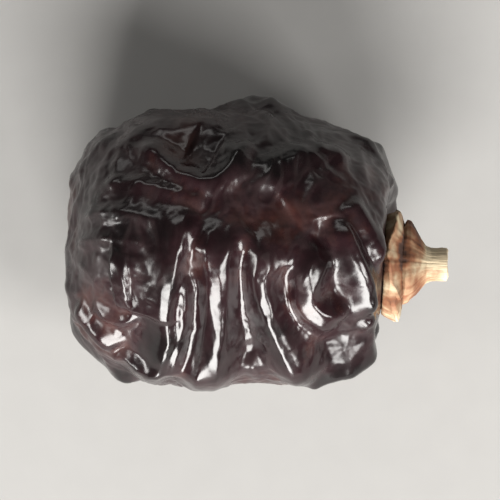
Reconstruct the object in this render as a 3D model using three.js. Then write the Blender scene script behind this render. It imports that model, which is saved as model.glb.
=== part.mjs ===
// An ajwa date as picked and cured: one wrinkled fruit, and the dried calyx that stays on its stem end.
// Millimetres, +Z up. The origin is the middle of the flat spot that the date lies on, and +X points
// out of the stem end. Seen from above with +X to the right, the fruit's lower edge is its -Y side.

import * as THREE from "three";
import { mergeVertices } from "three/addons/utils/BufferGeometryUtils.js";

// Driving dimensions of the fruit.
const fruitLength = 24.1;
const fruitWidth = 20.3;
const fruitHeight = 19.6; // before its own weight presses the flat spot
const pressedFlat = 0.2;
const lengthPower = 3.0; // blunt ends: 2 is an ellipsoid, and more is squarer
const crossPower = 2.25; // the cross-section, which is nearly round
const surfaceDivisions = 21; // the fruit's mesh has 20 x (divisions + 1)^2 triangles

// Driving dimensions of the calyx.
const calyxDiameter = 9.4;
const calyxHeight = 5.0; // from its seat to the end of the stalk stub
const calyxDrop = 1.3; // how far its axis lies to the -Y side of the fruit's
const calyxGap = 0.08; // between the calyx and its seat
const stubDiameter = 2.6;
const cupDiameter = 6.2;
const petalThickness = 0.5;
const nearLift = 0.9; // how far the rim stands off the fruit on its -Y side
const farLift = 0.5; // and on its +Y side
const petals = 3;

// Broad faces that the fruit has sunk to as it dried: the way each one looks, and how far it is in.
const sunkenFaces = [
  { normal: [0.02, -0.5, 0.866], depth: 1.2 },
  { normal: [0.5, -0.55, 0.67], depth: 0.9 },
  { normal: [-0.62, -0.5, 0.6], depth: 0.55 },
  { normal: [-0.25, 0.55, 0.8], depth: 0.4 },
  { normal: [0.3, 0.8, 0.52], depth: 0.45 },
  { normal: [0.15, 0.8, -0.58], depth: 0.6 },
  { normal: [-0.3, -0.78, -0.55], depth: 0.6 },
  { normal: [-0.86, 0.25, 0.44], depth: 0.4 },
  { normal: [-0.7, 0.1, -0.7], depth: 0.5 },
];
const facePower = 26; // how sharply those faces meet the round skin

const halfLength = fruitLength / 2;
const halfWidth = fruitWidth / 2;
const halfHeight = fruitHeight / 2;
const middleHeight = halfHeight - pressedFlat; // of the fruit's axis above what it lies on

// The folds of the side that shows from above. A path is a list of [x, y], and a y past the fruit's
// edge wraps under it. Height is the crest's rise, foot the reach of its left flank as the path runs
// and then of its right one, flat half the width of its top, and crest the radius of its edges.
const seenFolds = [
  // Pleats that fan out over the belly, from the stylar end to the stem end.
  { path: [[-2.1, 2.9], [-3.4, 1.2], [-4.2, -1.0], [-4.8, -4.5], [-5.0, -7.6], [-5.1, -10.3]],
    height: 1.1, foot: [1.4, 2.6], flat: 0.2, crest: 0.25 },
  { path: [[-3.2, -1.4], [-3.3, -4.6], [-3.7, -7.4], [-4.5, -9.6]],
    height: 0.7, foot: [1.9, 1.2], flat: 0.05, crest: 0.2 },
  { path: [[-0.4, 2.6], [-0.8, -0.4], [-0.8, -3.5], [-1.1, -6.3], [-1.6, -8.8], [-1.9, -10.5]],
    height: 1.25, foot: [2.3, 1.7], flat: 0.65, crest: 0.2 },
  { path: [[3.2, 2.4], [2.6, -0.4], [2.3, -2.6], [3.3, -5.2], [4.4, -7.6], [5.2, -9.3], [5.5, -10.3]],
    height: 1.2, foot: [2.6, 1.9], flat: 0.25, crest: 0.25 },
  { path: [[7.6, 0.2], [6.3, -1.8], [5.5, -3.6], [6.5, -4.9], [8.6, -5.4]],
    height: 0.9, foot: [1.6, 1.8], flat: 0.45, crest: 0.25 },
  { path: [[8.1, 2.4], [8.7, 0.2], [9.8, -2.6], [10.8, -4.8], [11.3, -6.2]],
    height: 1.1, foot: [1.2, 1.6], flat: 0.15, crest: 0.2 },
  { path: [[8.8, 3.6], [10.0, 1.4], [11.2, -0.8]], height: 0.6, foot: [1.5, 1.5], flat: 0.2, crest: 0.3 },
  { path: [[4.9, -9.9], [6.9, -9.3], [9.0, -8.3], [10.6, -6.9], [11.5, -5.2]],
    height: 1.2, foot: [2.0, 2.0], flat: 0.1, crest: 0.2 },
  // The stylar end: a low dome with a rim below it, and a corner fold.
  { path: [[-8.7, -1.9], [-7.3, -2.0]], height: 0.6, foot: [3.6, 3.6], flat: 0, crest: 1.6 },
  { path: [[-10.4, -4.2], [-8.6, -5.4], [-6.8, -5.3], [-5.6, -4.0]],
    height: 0.45, foot: [1.3, 1.1], flat: 0, crest: 0.2 },
  { path: [[-12.0, 1.2], [-12.0, -1.2], [-11.8, -3.2], [-11.4, -4.9], [-10.9, -6.0]],
    height: 0.5, foot: [2.0, 2.0], flat: 0.2, crest: 0.3 },
  { path: [[-11.4, -4.0], [-10.4, -5.5], [-9.3, -6.5], [-8.2, -7.8]],
    height: 0.9, foot: [1.6, 1.5], flat: 0.15, crest: 0.25 },
  { path: [[-11.4, 0.3], [-8.4, 0.6], [-5.8, 0.2]], height: 0.3, foot: [1.0, 1.0], flat: 0, crest: 0.2 },
  { path: [[-11.2, 2.2], [-8.6, 2.6], [-6.4, 2.3], [-4.6, 1.5]],
    height: 0.45, foot: [1.1, 1.1], flat: 0, crest: 0.2 },
  { path: [[-9.8, 4.3], [-6.8, 4.6], [-3.6, 3.8], [-1.2, 3.2]],
    height: 0.5, foot: [1.4, 1.3], flat: 0, crest: 0.25 },
  // The far side: one long swag, an arc round its left and softer folds towards the stem.
  { path: [[-7.0, 8.4], [-5.8, 7.1], [-4.6, 5.9], [-3.0, 4.9], [-1.2, 4.7], [0.1, 5.6], [1.0, 7.0],
    [2.4, 8.0]],
    height: 0.85, foot: [2.0, 1.5], flat: 0, crest: 0.25 },
  { path: [[-8.4, 6.8], [-7.0, 8.0], [-5.2, 8.8], [-3.2, 9.0], [-1.4, 8.5], [-0.9, 7.2]],
    height: 0.65, foot: [1.8, 1.8], flat: 0, crest: 0.3 },
  { path: [[1.7, 4.8], [3.4, 6.2], [5.6, 6.9], [7.6, 7.1], [9.4, 6.0]],
    height: 0.6, foot: [1.8, 1.8], flat: 0.1, crest: 0.4 },
  { path: [[-11.2, 5.4], [-10.0, 7.0], [-8.0, 8.4]], height: 0.45, foot: [1.5, 1.5], flat: 0, crest: 0.3 },
];

// Sunken ground between those folds, of negative height.
const seenHollows = [
  { path: [[0.7, 0.8], [0.8, -4.0], [1.2, -6.8], [1.4, -9.0]],
    height: -0.8, foot: [2.3, 2.3], flat: 0, crest: 0.25 },
  { path: [[-2.3, 0.0], [-2.1, -5.0], [-2.8, -9.0]], height: -0.6, foot: [1.4, 1.4], flat: 0, crest: 0.25 },
  { path: [[4.6, -1.2], [4.4, -4.0], [6.0, -7.0], [8.2, -7.0], [9.4, -5.6]],
    height: -0.6, foot: [1.7, 1.7], flat: 0, crest: 0.25 },
  { path: [[7.0, 2.4], [7.4, 0.0], [7.8, -2.2], [8.6, -4.4]],
    height: -0.65, foot: [1.7, 1.7], flat: 0, crest: 0.3 },
  { path: [[-6.3, -4.6], [-6.6, -6.6], [-6.8, -8.6]],
    height: -0.8, foot: [2.4, 2.4], flat: 0, crest: 0.6 },
  { path: [[-3.0, 7.4], [-0.8, 6.8]], height: -0.5, foot: [2.6, 2.6], flat: 0, crest: 0.8 },
  { path: [[1.2, 1.2], [4.4, 3.4]], height: -0.4, foot: [3.2, 3.2], flat: 0, crest: 1.0 },
];

// Rules for what covers the rest of the skin.
const wanderingFolds = 58;
const wanderSteps = 5;
const netCells = 105;
const netHeight = 0.5;
const netFoot = 1.5; // the reach of a net ridge's flanks
const netCrest = 0.25;
const netStretch = 1.35; // cells are wider round the fruit than along it
const lumpHeight = 0.35;
const puckers = 13; // small pleats drawn in round the calyx
const puckerHeight = 0.16;
const shoulderHeight = 0.35; // of the swelling that the calyx sits in
const hollowing = 1.5; // how hollow a flank is: 1 is straight
const blendPower = 4; // how crossing folds merge: a high power keeps only the taller

// A repeatable stream of numbers from 0 to 1.
function randomStream(seed) {
  let state = seed;
  return () => {
    state = (state * 48271) % 2147483647;
    return state / 2147483647;
  };
}

function smooth(low, high, value) {
  const t = Math.min(1, Math.max(0, (value - low) / (high - low)));
  return t * t * (3 - 2 * t);
}

// Soft waves through space, from -1 to 1, with no direction of their own.
function makeWaves(seed, wavelength, count = 5) {
  const random = randomStream(seed);
  const waves = [];
  for (let i = 0; i < count; i++) {
    const up = 2 * random() - 1;
    const turn = 2 * Math.PI * random();
    const flat = Math.sqrt(1 - up * up);
    const axis = new THREE.Vector3(flat * Math.cos(turn), flat * Math.sin(turn), up);
    waves.push({ axis: axis.multiplyScalar((2 * Math.PI) / wavelength), phase: 2 * Math.PI * random() });
  }
  return (point) => waves.reduce((sum, wave) => sum + Math.sin(point.dot(wave.axis) + wave.phase), 0) / count;
}

// How far out a point is, in shares of the plain form: a superellipsoid, which is 1 all over its skin.
function plainShare({ x, y, z }) {
  const across = Math.abs(y / halfWidth) ** crossPower + Math.abs(z / halfHeight) ** crossPower;
  const along = Math.abs(x / halfLength) ** lengthPower;
  return (along + across ** (lengthPower / crossPower)) ** (1 / lengthPower);
}

// The plane of each sunken face, from the plane that would touch the plain form.
const planes = sunkenFaces.map(({ normal, depth }) => {
  const facing = new THREE.Vector3(...normal).normalize();
  const along = lengthPower / (lengthPower - 1);
  const across = crossPower / (crossPower - 1);
  const side = Math.abs(facing.y * halfWidth) ** across + Math.abs(facing.z * halfHeight) ** across;
  const touching = (Math.abs(facing.x * halfLength) ** along + side ** (along / across)) ** (1 / along);
  return { facing, distance: touching - depth };
});

const planeShare = (plane, point) => Math.max(0, plane.facing.dot(point)) / plane.distance;

// The same for the plump form, which is the plain one with its sunken faces.
function plumpShare(point) {
  const sum = planes.reduce((total, plane) => total + planeShare(plane, point) ** facePower, 0);
  return (plainShare(point) ** facePower + sum) ** (1 / facePower);
}

const plumpPoint = (direction) => direction.clone().divideScalar(plumpShare(direction));

function plumpNormal(point) {
  const { x, y, z } = point;
  const across = Math.abs(y / halfWidth) ** crossPower + Math.abs(z / halfHeight) ** crossPower;
  const share = across ** (lengthPower / crossPower - 1);
  const normal = new THREE.Vector3(
    (Math.sign(x) * Math.abs(x / halfLength) ** (lengthPower - 1)) / halfLength,
    (Math.sign(y) * share * Math.abs(y / halfWidth) ** (crossPower - 1)) / halfWidth,
    (Math.sign(z) * share * Math.abs(z / halfHeight) ** (crossPower - 1)) / halfHeight,
  );
  normal.multiplyScalar(plainShare(point) ** (facePower - lengthPower));
  for (const plane of planes) {
    normal.addScaledVector(plane.facing, planeShare(plane, point) ** (facePower - 1) / plane.distance);
  }
  return normal.normalize();
}

// The point of the plump form at [x, y] as seen from above, found by halving.
function liftedPoint([x, y]) {
  const edge = halfWidth * (1 - Math.abs(x / halfLength) ** lengthPower) ** (1 / lengthPower);
  const under = Math.abs(y) > edge;
  const point = new THREE.Vector3(x, under ? Math.sign(y) * (2 * edge - Math.abs(y)) : y, 0);
  let [low, high] = [0, halfHeight];
  for (let step = 0; step < 30; step++) {
    const middle = (low + high) / 2;
    point.z = under ? -middle : middle;
    if (plumpShare(point) > 1) high = middle;
    else low = middle;
  }
  return point;
}

// A smooth line over the plump form, through the given points of it.
function surfaceLine(points, stepsPerSpan = 6) {
  const line = [];
  const last = points.length - 1;
  for (let i = 0; i < last; i++) {
    const a = points[Math.max(i - 1, 0)];
    const b = points[i];
    const c = points[i + 1];
    const d = points[Math.min(i + 2, last)];
    for (let step = 0; step < stepsPerSpan; step++) {
      const t = step / stepsPerSpan;
      const point = new THREE.Vector3()
        .addScaledVector(a, (-t + 2 * t * t - t * t * t) / 2)
        .addScaledVector(b, (2 - 5 * t * t + 3 * t * t * t) / 2)
        .addScaledVector(c, (t + 4 * t * t - 3 * t * t * t) / 2)
        .addScaledVector(d, (t * t * t - t * t) / 2);
      line.push(plumpPoint(point.normalize()));
    }
  }
  line.push(points[last].clone());
  return line;
}

function pointOn(line, place) {
  const i = Math.min(Math.max(Math.floor(place), 0), line.length - 2);
  return line[i].clone().lerp(line[i + 1], Math.min(1, Math.max(0, place - i)));
}

// The place on a line nearest to a point, counted in steps of the line, and its distance.
function nearestOn(line, point) {
  let distance = Infinity;
  let place = 0;
  for (let i = 0; i + 1 < line.length; i++) {
    const [from, to] = [line[i], line[i + 1]];
    const [sx, sy, sz] = [to.x - from.x, to.y - from.y, to.z - from.z];
    const [px, py, pz] = [point.x - from.x, point.y - from.y, point.z - from.z];
    const share = Math.min(1, Math.max(0, (px * sx + py * sy + pz * sz) / (sx * sx + sy * sy + sz * sz)));
    const reach = Math.hypot(px - share * sx, py - share * sy, pz - share * sz);
    if (reach < distance) {
      distance = reach;
      place = i + share;
    }
  }
  return { distance, place };
}

// Whether a point is on a line's right as the line runs, seen from outside: from 0 to 1 across it.
function rightOf(line, place, point) {
  const run = pointOn(line, place + 1).sub(pointOn(line, place - 1)).normalize();
  const offset = point.clone().sub(pointOn(line, place));
  return smooth(-0.5, 0.5, point.clone().normalize().dot(offset.cross(run)));
}

// A ridge's cross-section: 1 at its crest, falling in a hollow curve to 0 at its foot.
function flank(distance, foot, crest, flat = 0) {
  const t = (Math.hypot(Math.max(0, distance - flat), crest) - crest) / foot;
  return t < 1 ? (1 - t) ** hollowing : 0;
}

function foldRise(fold, point) {
  const { distance, place } = nearestOn(fold.line, point);
  if (distance > 5) return 0;
  const along = place / (fold.line.length - 1);
  const ends = smooth(0, 0.2, along) * smooth(0, 0.2, 1 - along);
  const foot = THREE.MathUtils.lerp(...fold.foot, rightOf(fold.line, place, point));
  return fold.height * ends * flank(distance, foot, fold.crest, fold.flat);
}

const fromAbove = (fold) => ({ ...fold, line: surfaceLine(fold.path.map(liftedPoint)) });

// Evenly spread directions, each moved at random by a share of the spacing.
function spreadDirections(count, jitter, random) {
  const goldenTurn = Math.PI * (3 - Math.sqrt(5));
  return Array.from({ length: count }, (_, i) => {
    const along = 1 - (2 * i + 1) / count;
    const flat = Math.sqrt(1 - along * along);
    const turn = i * goldenTurn;
    const direction = new THREE.Vector3(along, flat * Math.cos(turn), flat * Math.sin(turn));
    const reach = jitter * Math.sqrt((4 * Math.PI) / count);
    direction.x += reach * (random() - 0.5);
    direction.y += reach * (random() - 0.5);
    direction.z += reach * (random() - 0.5);
    return direction.normalize();
  });
}

// Folds that wander over the skin: round the fruit at its belly, and lengthwise towards its ends.
function makeWanderingFolds() {
  const random = randomStream(4021);
  const around = new THREE.Vector3();
  const along = new THREE.Vector3();
  return spreadDirections(wanderingFolds, 0.9, random).map((start) => {
    const direction = start.clone();
    const size = 0.6 + 0.8 * random();
    const towardsEnd = smooth(0.55, 0.95, Math.abs(start.x));
    let heading = (random() - 0.5) * 1.5 + (towardsEnd * Math.PI) / 2;
    const points = [];
    for (let step = 0; step <= wanderSteps; step++) {
      points.push(plumpPoint(direction));
      around.set(1, 0, 0).cross(direction).normalize();
      along.crossVectors(direction, around);
      heading += (random() - 0.5) * 0.9;
      const stride = 0.15 * size;
      direction.addScaledVector(around, stride * Math.cos(heading));
      direction.addScaledVector(along, stride * Math.sin(heading)).normalize();
    }
    const seen = smooth(-0.35, 0.2, start.z); // quieter where the seen folds are
    const foot = [1.6 + 1.8 * random(), 1.6 + 1.8 * random()];
    const height = size * (0.95 - 0.8 * seen);
    return { line: surfaceLine(points), height, foot, crest: 0.2 + 0.3 * random() };
  });
}

// A net of fine ridges between small sunken cells, deeper in some patches of skin than in others.
function makeNet() {
  const random = randomStream(977);
  const centres = spreadDirections(netCells, 0.85, random).map(plumpPoint);
  const warps = [makeWaves(11, 6.5), makeWaves(12, 6.5), makeWaves(13, 6.5)];
  const patches = makeWaves(14, 15);
  const stretched = new THREE.Vector3(netStretch, 1, 1);
  centres.forEach((centre) => centre.multiply(stretched));
  return (point) => {
    const moved = new THREE.Vector3(...warps.map((warp) => warp(point))).multiplyScalar(1.3);
    moved.add(point).multiply(stretched);
    let first = Infinity;
    let second = Infinity;
    for (const centre of centres) {
      const distance = centre.distanceTo(moved);
      second = Math.min(second, Math.max(first, distance));
      first = Math.min(first, distance);
    }
    const seen = smooth(-0.35, 0.2, point.z / point.length());
    const depth = (0.45 + 0.55 * smooth(-0.4, 0.4, patches(point))) * (1 - 0.6 * seen);
    return netHeight * depth * (flank((second - first) / 2, netFoot, netCrest) - 0.4);
  };
}

// The calyx's seat: a shallow smooth dish in the stem end, which no fold reaches.
const calyxRadius = calyxDiameter / 2;
const seatRadius = calyxRadius + 0.3;

function fromCalyxAxis(point) {
  return point.x > 0 ? Math.hypot(point.y + calyxDrop, point.z) : Infinity;
}

function dishDepth(radius) {
  return 0.5 * Math.exp(-((radius / 4.2) ** 2));
}

// The seat's surface at a place across the calyx's axis.
function seatHeight(y, z) {
  const across = Math.abs(y / halfWidth) ** crossPower + Math.abs(z / halfHeight) ** crossPower;
  const plump = halfLength * (1 - across ** (lengthPower / crossPower)) ** (1 / lengthPower);
  return plump - dishDepth(Math.hypot(y + calyxDrop, z));
}

// The folds are pressed out where the fruit has lain: 0 there, and 1 away from it.
function lain(point) {
  return point.z < 0 ? smooth(1.2, 5.5, Math.hypot(point.x / 1.4, point.y)) : 1;
}

function makeSkin() {
  const folds = [...seenFolds.map(fromAbove), ...makeWanderingFolds()];
  const hollows = seenHollows.map(fromAbove);
  const net = makeNet();
  const lumps = makeWaves(5, 17);
  const wobble = makeWaves(6, 7);

  // How far the skin stands above the plump form.
  function rise(point) {
    const radius = fromCalyxAxis(point);
    const loose = smooth(seatRadius, seatRadius + 1.4, radius) * lain(point);
    const blended = folds.reduce((sum, fold) => sum + foldRise(fold, point) ** blendPower, 0);
    const folded = blended ** (1 / blendPower);
    const sunken = hollows.reduce((sum, hollow) => sum + foldRise(hollow, point), 0);
    let height = loose * (folded + sunken + net(point) + lumpHeight * lumps(point));
    if (radius < Infinity) {
      const turn = Math.atan2(point.z, point.y + calyxDrop);
      const band = smooth(calyxRadius - 0.2, calyxRadius + 1.2, radius) * (1 - smooth(5.6, 7.6, radius));
      height += puckerHeight * band * Math.cos(puckers * turn + 3 * wobble(point));
      height += shoulderHeight * Math.exp(-(((radius - 6.4) / 1.1) ** 2));
    }
    return height;
  }

  const onSkin = (plump) => {
    const skin = plump.clone().addScaledVector(plumpNormal(plump), rise(plump));
    skin.x -= plump.x > 0 ? dishDepth(fromCalyxAxis(plump)) : 0;
    return skin;
  };
  return { folds, onSkin };
}

// Along each crest, the nearest of the mesh's points move onto it, so that edges follow the folds.
function drawOntoCrests(points, folds) {
  const spacing = 0.5;
  const moved = new Set();
  for (const { line } of folds) {
    const last = line.length - 1;
    const length = line.slice(1).reduce((sum, point, i) => sum + point.distanceTo(line[i]), 0);
    const steps = Math.round((0.8 * length) / spacing);
    for (let step = 0; step <= steps; step++) {
      const crest = pointOn(line, last * (0.1 + (0.8 * step) / steps));
      const distances = points.map((point) => point.distanceToSquared(crest));
      const nearest = distances.indexOf(Math.min(...distances));
      if (moved.has(nearest) || distances[nearest] > 0.36 ** 2) continue;
      points[nearest].copy(plumpPoint(crest));
      moved.add(nearest);
    }
  }
  return moved;
}

// How well a triangle faces outwards, from -1 to 1.
function facesOut([a, b, c]) {
  const normal = b.clone().sub(a).cross(c.clone().sub(a));
  return normal.dot(a) / (normal.length() * a.length());
}

// The other points ease to the middle of their neighbours, which evens the triangles out. A point
// that was moved is let go where a triangle is too thin to face outwards.
function easeBetween(points, corners, fixed) {
  for (let round = 0; round < 5; round++) {
    const sums = points.map(() => ({ total: new THREE.Vector3(), count: 0 }));
    for (let i = 0; i < corners.length; i += 3) {
      const face = corners.slice(i, i + 3);
      const thin = facesOut(face.map((corner) => points[corner])) < 0.5;
      if (thin) face.forEach((corner) => fixed.delete(corner));
      face.forEach((corner, k) => {
        sums[corner].total.add(points[face[(k + 1) % 3]]).add(points[face[(k + 2) % 3]]);
        sums[corner].count += 2;
      });
    }
    sums.forEach(({ total, count }, i) => {
      if (!fixed.has(i)) points[i].lerp(total.divideScalar(count), 0.6).copy(plumpPoint(points[i]));
    });
  }
}

function makeFruit() {
  const ball = new THREE.IcosahedronGeometry(1, surfaceDivisions);
  ball.deleteAttribute("normal");
  ball.deleteAttribute("uv");
  const geometry = mergeVertices(ball, 1e-5);
  const position = geometry.getAttribute("position");
  const points = Array.from({ length: position.count }, (_, i) =>
    plumpPoint(new THREE.Vector3().fromBufferAttribute(position, i).normalize()),
  );
  const { folds, onSkin } = makeSkin();
  easeBetween(points, Array.from(geometry.index.array), drawOntoCrests(points, folds));
  points.forEach((point, i) => {
    const { x, y, z } = onSkin(point);
    position.setXYZ(i, x, y, Math.max(0, z + middleHeight)); // pressed flat where it lies
  });
  geometry.computeVertexNormals();
  const material = new THREE.MeshStandardMaterial({ color: 0x2a1a1c, roughness: 0.35, metalness: 0 });
  const fruit = new THREE.Mesh(geometry, material);
  fruit.name = "fruit";
  return fruit;
}

// The calyx's outline from the stub's end to the rim, as [share of its radius, height]. Heights are
// shares of the calyx's height, above the seat.
const stubRadius = stubDiameter / 2;
const cupRadius = cupDiameter / 2;
const calyxOutline = [
  [0.0, 4.75],
  [0.55 * stubRadius, 4.7],
  [0.9 * stubRadius, calyxHeight],
  [stubRadius, 4.8],
  [0.95 * stubRadius, 3.9],
  [1.12 * stubRadius, 3.3],
  [1.45 * stubRadius, 2.9],
  [0.85 * cupRadius, 2.35],
  [0.98 * cupRadius, 1.95],
  [1.02 * cupRadius, 1.45],
  [0.72 * calyxRadius, 1.05],
  [0.8 * calyxRadius, 0.85],
  [0.92 * calyxRadius, 0.68],
  [0.985 * calyxRadius, petalThickness],
];

function makeCalyx() {
  const turns = 66;
  const underRings = [1.0, 0.93, 0.78, 0.6, 0.4, 0.2];
  const wobble = makeWaves(31, 5);
  const ragged = makeWaves(32, 1.8);

  // How far the rim reaches at a turn round the axis: three petals, notched between and uneven.
  function reach(turn) {
    const gap = Math.abs(Math.sin((petals * turn) / 2)) ** 0.5;
    const edge = new THREE.Vector3(3 * Math.cos(turn), 3 * Math.sin(turn), 0);
    return 0.84 + 0.14 * gap + 0.035 * wobble(edge) + 0.03 * ragged(edge);
  }

  // Each petal lies over the next one: the step between them, which is deepest at the rim.
  function overlap(turn, share) {
    const place = ((petals * turn) / (2 * Math.PI)) % 1;
    return 0.3 * smooth(0.5, 0.8, share) * smooth(0, 0.12, place) * (1 - place);
  }

  // The petals at its sides stand off the fruit towards their rims.
  function lifted(turn, share) {
    const side = nearLift * smooth(0.1, 1, -Math.cos(turn)) + farLift * smooth(0.1, 1, Math.cos(turn));
    return side * smooth(0.45, 1, share);
  }

  const points = [];
  const ring = (make) => {
    for (let i = 0; i < turns; i++) points.push(make((2 * Math.PI * i) / turns));
  };
  const place = (radius, turn, height) => {
    const y = radius * Math.cos(turn) - calyxDrop;
    const z = radius * Math.sin(turn);
    const stand = height + lifted(turn, radius / calyxRadius);
    return new THREE.Vector3(seatHeight(y, z) + calyxGap + stand, y, z);
  };

  points.push(place(0, 0, calyxOutline[0][1]));
  calyxOutline.slice(1).forEach(([radius, height]) => {
    const share = radius / calyxRadius;
    const towardsRim = smooth(0.45, 0.9, share);
    const teeth = smooth(0.35, 0.55, share) * (1 - smooth(0.69, 0.74, share));
    ring((turn) => {
      const spread = 1 + towardsRim * (reach(turn) - 1) + 0.07 * teeth * Math.cos(petals * turn);
      return place(radius * spread, turn, height + overlap(turn, share));
    });
  });
  underRings.forEach((share) => ring((turn) => place(calyxRadius * 0.97 * share * reach(turn), turn, 0)));
  points.push(place(0, 0, 0));

  const faces = [];
  const ringStart = (k) => 1 + k * turns;
  const rings = calyxOutline.length - 1 + underRings.length;
  const end = points.length - 1;
  for (let i = 0; i < turns; i++) {
    const next = (i + 1) % turns;
    faces.push(0, ringStart(0) + i, ringStart(0) + next);
    for (let k = 0; k + 1 < rings; k++) {
      const [a, b] = [ringStart(k) + i, ringStart(k) + next];
      const [c, d] = [ringStart(k + 1) + i, ringStart(k + 1) + next];
      faces.push(a, c, d, a, d, b);
    }
    faces.push(ringStart(rings - 1) + i, end, ringStart(rings - 1) + next);
  }

  const geometry = new THREE.BufferGeometry().setFromPoints(points);
  geometry.setIndex(faces);
  geometry.computeVertexNormals();
  const material = new THREE.MeshStandardMaterial({ color: 0xb8915f, roughness: 0.75, metalness: 0 });
  const calyx = new THREE.Mesh(geometry, material);
  calyx.name = "calyx";
  calyx.position.z = middleHeight;
  return calyx;
}

const date = new THREE.Group();
date.add(makeFruit(), makeCalyx());

export default date;
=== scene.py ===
import math

import bpy
import numpy as np
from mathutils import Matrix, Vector


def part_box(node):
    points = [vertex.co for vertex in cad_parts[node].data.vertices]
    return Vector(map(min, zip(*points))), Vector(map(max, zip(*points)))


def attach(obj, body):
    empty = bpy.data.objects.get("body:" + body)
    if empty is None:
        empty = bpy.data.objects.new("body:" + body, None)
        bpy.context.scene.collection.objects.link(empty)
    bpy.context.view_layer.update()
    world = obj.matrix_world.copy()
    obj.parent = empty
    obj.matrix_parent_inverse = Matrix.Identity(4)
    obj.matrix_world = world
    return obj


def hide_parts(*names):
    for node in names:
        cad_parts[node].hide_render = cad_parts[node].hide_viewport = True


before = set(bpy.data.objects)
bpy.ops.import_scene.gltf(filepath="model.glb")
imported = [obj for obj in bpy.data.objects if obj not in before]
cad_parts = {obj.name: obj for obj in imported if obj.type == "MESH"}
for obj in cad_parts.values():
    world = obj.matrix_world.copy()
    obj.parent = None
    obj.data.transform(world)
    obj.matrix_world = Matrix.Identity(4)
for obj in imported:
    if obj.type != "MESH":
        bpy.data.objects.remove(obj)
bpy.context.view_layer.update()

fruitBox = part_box("fruit")
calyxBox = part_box("calyx")
print("ajwa date: solids loaded")


# Camera, floor and light.
studio = {
    "lookAt": (0.0016, -0.0002, 0.0095),
    "cameraHeight": 0.62,             # straight above, as in the photo
    "frameWidth": 0.0375,             # metres across the picture at the date
    "sensorWidth": 36,                # millimetres
    "lightColour": (1, 0.985, 0.96),
    "worldStrength": 0.08,
    "softboxes": {                    # place, size, and power in watts
        "key": ((-0.02, -0.40, 0.20), (0.27, 0.30), 7.3),
        "corner": ((0.28, -0.22, 0.26), (0.16, 0.14), 1.9),
        "left": ((-0.40, -0.10, 0.12), (0.12, 0.10), 0.85),
        "far": ((-0.12, 0.40, 0.22), (0.45, 0.10), 0.45),
    },
    "floorSize": 4.0,
    "floorColour": (0.295, 0.29, 0.282),
    "floorGrain": 0.97,               # how dark the grain is beside that colour
    "floorNoise": (420, 3.0, 0.5),
    "floorRoughness": 0.85,
}


def makeCamera():
    target = Vector(studio["lookAt"])
    place = target + Vector((0, 0, studio["cameraHeight"]))
    data = bpy.data.cameras.new("camera")
    camera = bpy.data.objects.new("camera", data)
    bpy.context.scene.collection.objects.link(camera)
    camera.location = place
    data.sensor_fit = "HORIZONTAL"
    data.sensor_width = studio["sensorWidth"]
    data.lens = studio["sensorWidth"] * studio["cameraHeight"] / studio["frameWidth"]
    data.clip_start = 0.01
    data.dof.use_dof = False
    bpy.context.scene.camera = camera


def addSoftbox(name, place, size, power):
    data = bpy.data.lights.new(name, "AREA")
    data.shape = "RECTANGLE"
    data.size, data.size_y = size
    data.energy = power
    data.color = studio["lightColour"]
    lamp = bpy.data.objects.new(name, data)
    bpy.context.scene.collection.objects.link(lamp)
    lamp.location = place
    aim = Vector(studio["lookAt"]) - Vector(place)
    lamp.rotation_euler = aim.to_track_quat("-Z", "Y").to_euler()


def setWorld():
    world = bpy.data.worlds.new("room")
    world.use_nodes = True
    background = world.node_tree.nodes["Background"]
    background.inputs["Color"].default_value = (*studio["lightColour"], 1)
    background.inputs["Strength"].default_value = studio["worldStrength"]
    bpy.context.scene.world = world
    bpy.context.scene.view_settings.view_transform = "Standard"


makeCamera()
for name, (place, size, power) in studio["softboxes"].items():
    addSoftbox(name, place, size, power)
setWorld()
print("camera and light set")


# Small helpers for node trees, used by the materials and the geometry trees alike.
def addNode(tree, kind, settings=None, inputs=None):
    made = tree.nodes.new(kind)
    for name, value in (settings or {}).items():
        setattr(made, name, value)
    for key, value in (inputs or {}).items():
        if isinstance(value, bpy.types.NodeSocket):
            tree.links.new(value, made.inputs[key])
        else:
            made.inputs[key].default_value = value
    return made


def maths(tree, operation, first, second=0.0):
    inputs = {0: first, 1: second}
    return addNode(tree, "ShaderNodeMath", {"operation": operation}, inputs).outputs[0]


def plus(tree, total, *others):
    for value in others:
        total = maths(tree, "ADD", total, value)
    return total


def minus(tree, first, second):
    return maths(tree, "SUBTRACT", first, second)


def times(tree, product, *others):
    for value in others:
        product = maths(tree, "MULTIPLY", product, value)
    return product


def vectorMaths(tree, operation, first, second=(0, 0, 0)):
    inputs = {0: first, "Scale" if operation == "SCALE" else 1: second}
    return addNode(tree, "ShaderNodeVectorMath", {"operation": operation}, inputs).outputs[0]


def between(tree, value, low, high, toLow=0.0, toHigh=1.0):
    settings = {"interpolation_type": "SMOOTHSTEP"}
    inputs = {"Value": value, "From Min": low, "From Max": high, "To Min": toLow, "To Max": toHigh}
    return addNode(tree, "ShaderNodeMapRange", settings, inputs).outputs[0]


def noise(tree, vector, scale, detail=2.0, seed=0.0, roughness=0.5):
    inputs = {"Vector": vector, "W": seed, "Scale": scale, "Detail": detail, "Roughness": roughness}
    return addNode(tree, "ShaderNodeTexNoise", {"noise_dimensions": "4D"}, inputs)


def ramp(tree, factor, stops):
    stops = list(stops)
    made = addNode(tree, "ShaderNodeValToRGB", inputs={0: factor})
    marks = made.color_ramp.elements
    while len(marks) < len(stops):
        marks.new(0.5)
    for mark, (position, colour) in zip(marks, stops):
        mark.position = position
        mark.color = (*colour, 1)
    return made.outputs[0]


def surfaceMark(tree, name):          # a value that the mesh keeps at each of its points
    return addNode(tree, "ShaderNodeAttribute", {"attribute_name": name}).outputs["Fac"]


def placeOnPiece(tree):
    return addNode(tree, "ShaderNodeTexCoord").outputs["Object"]


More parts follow.
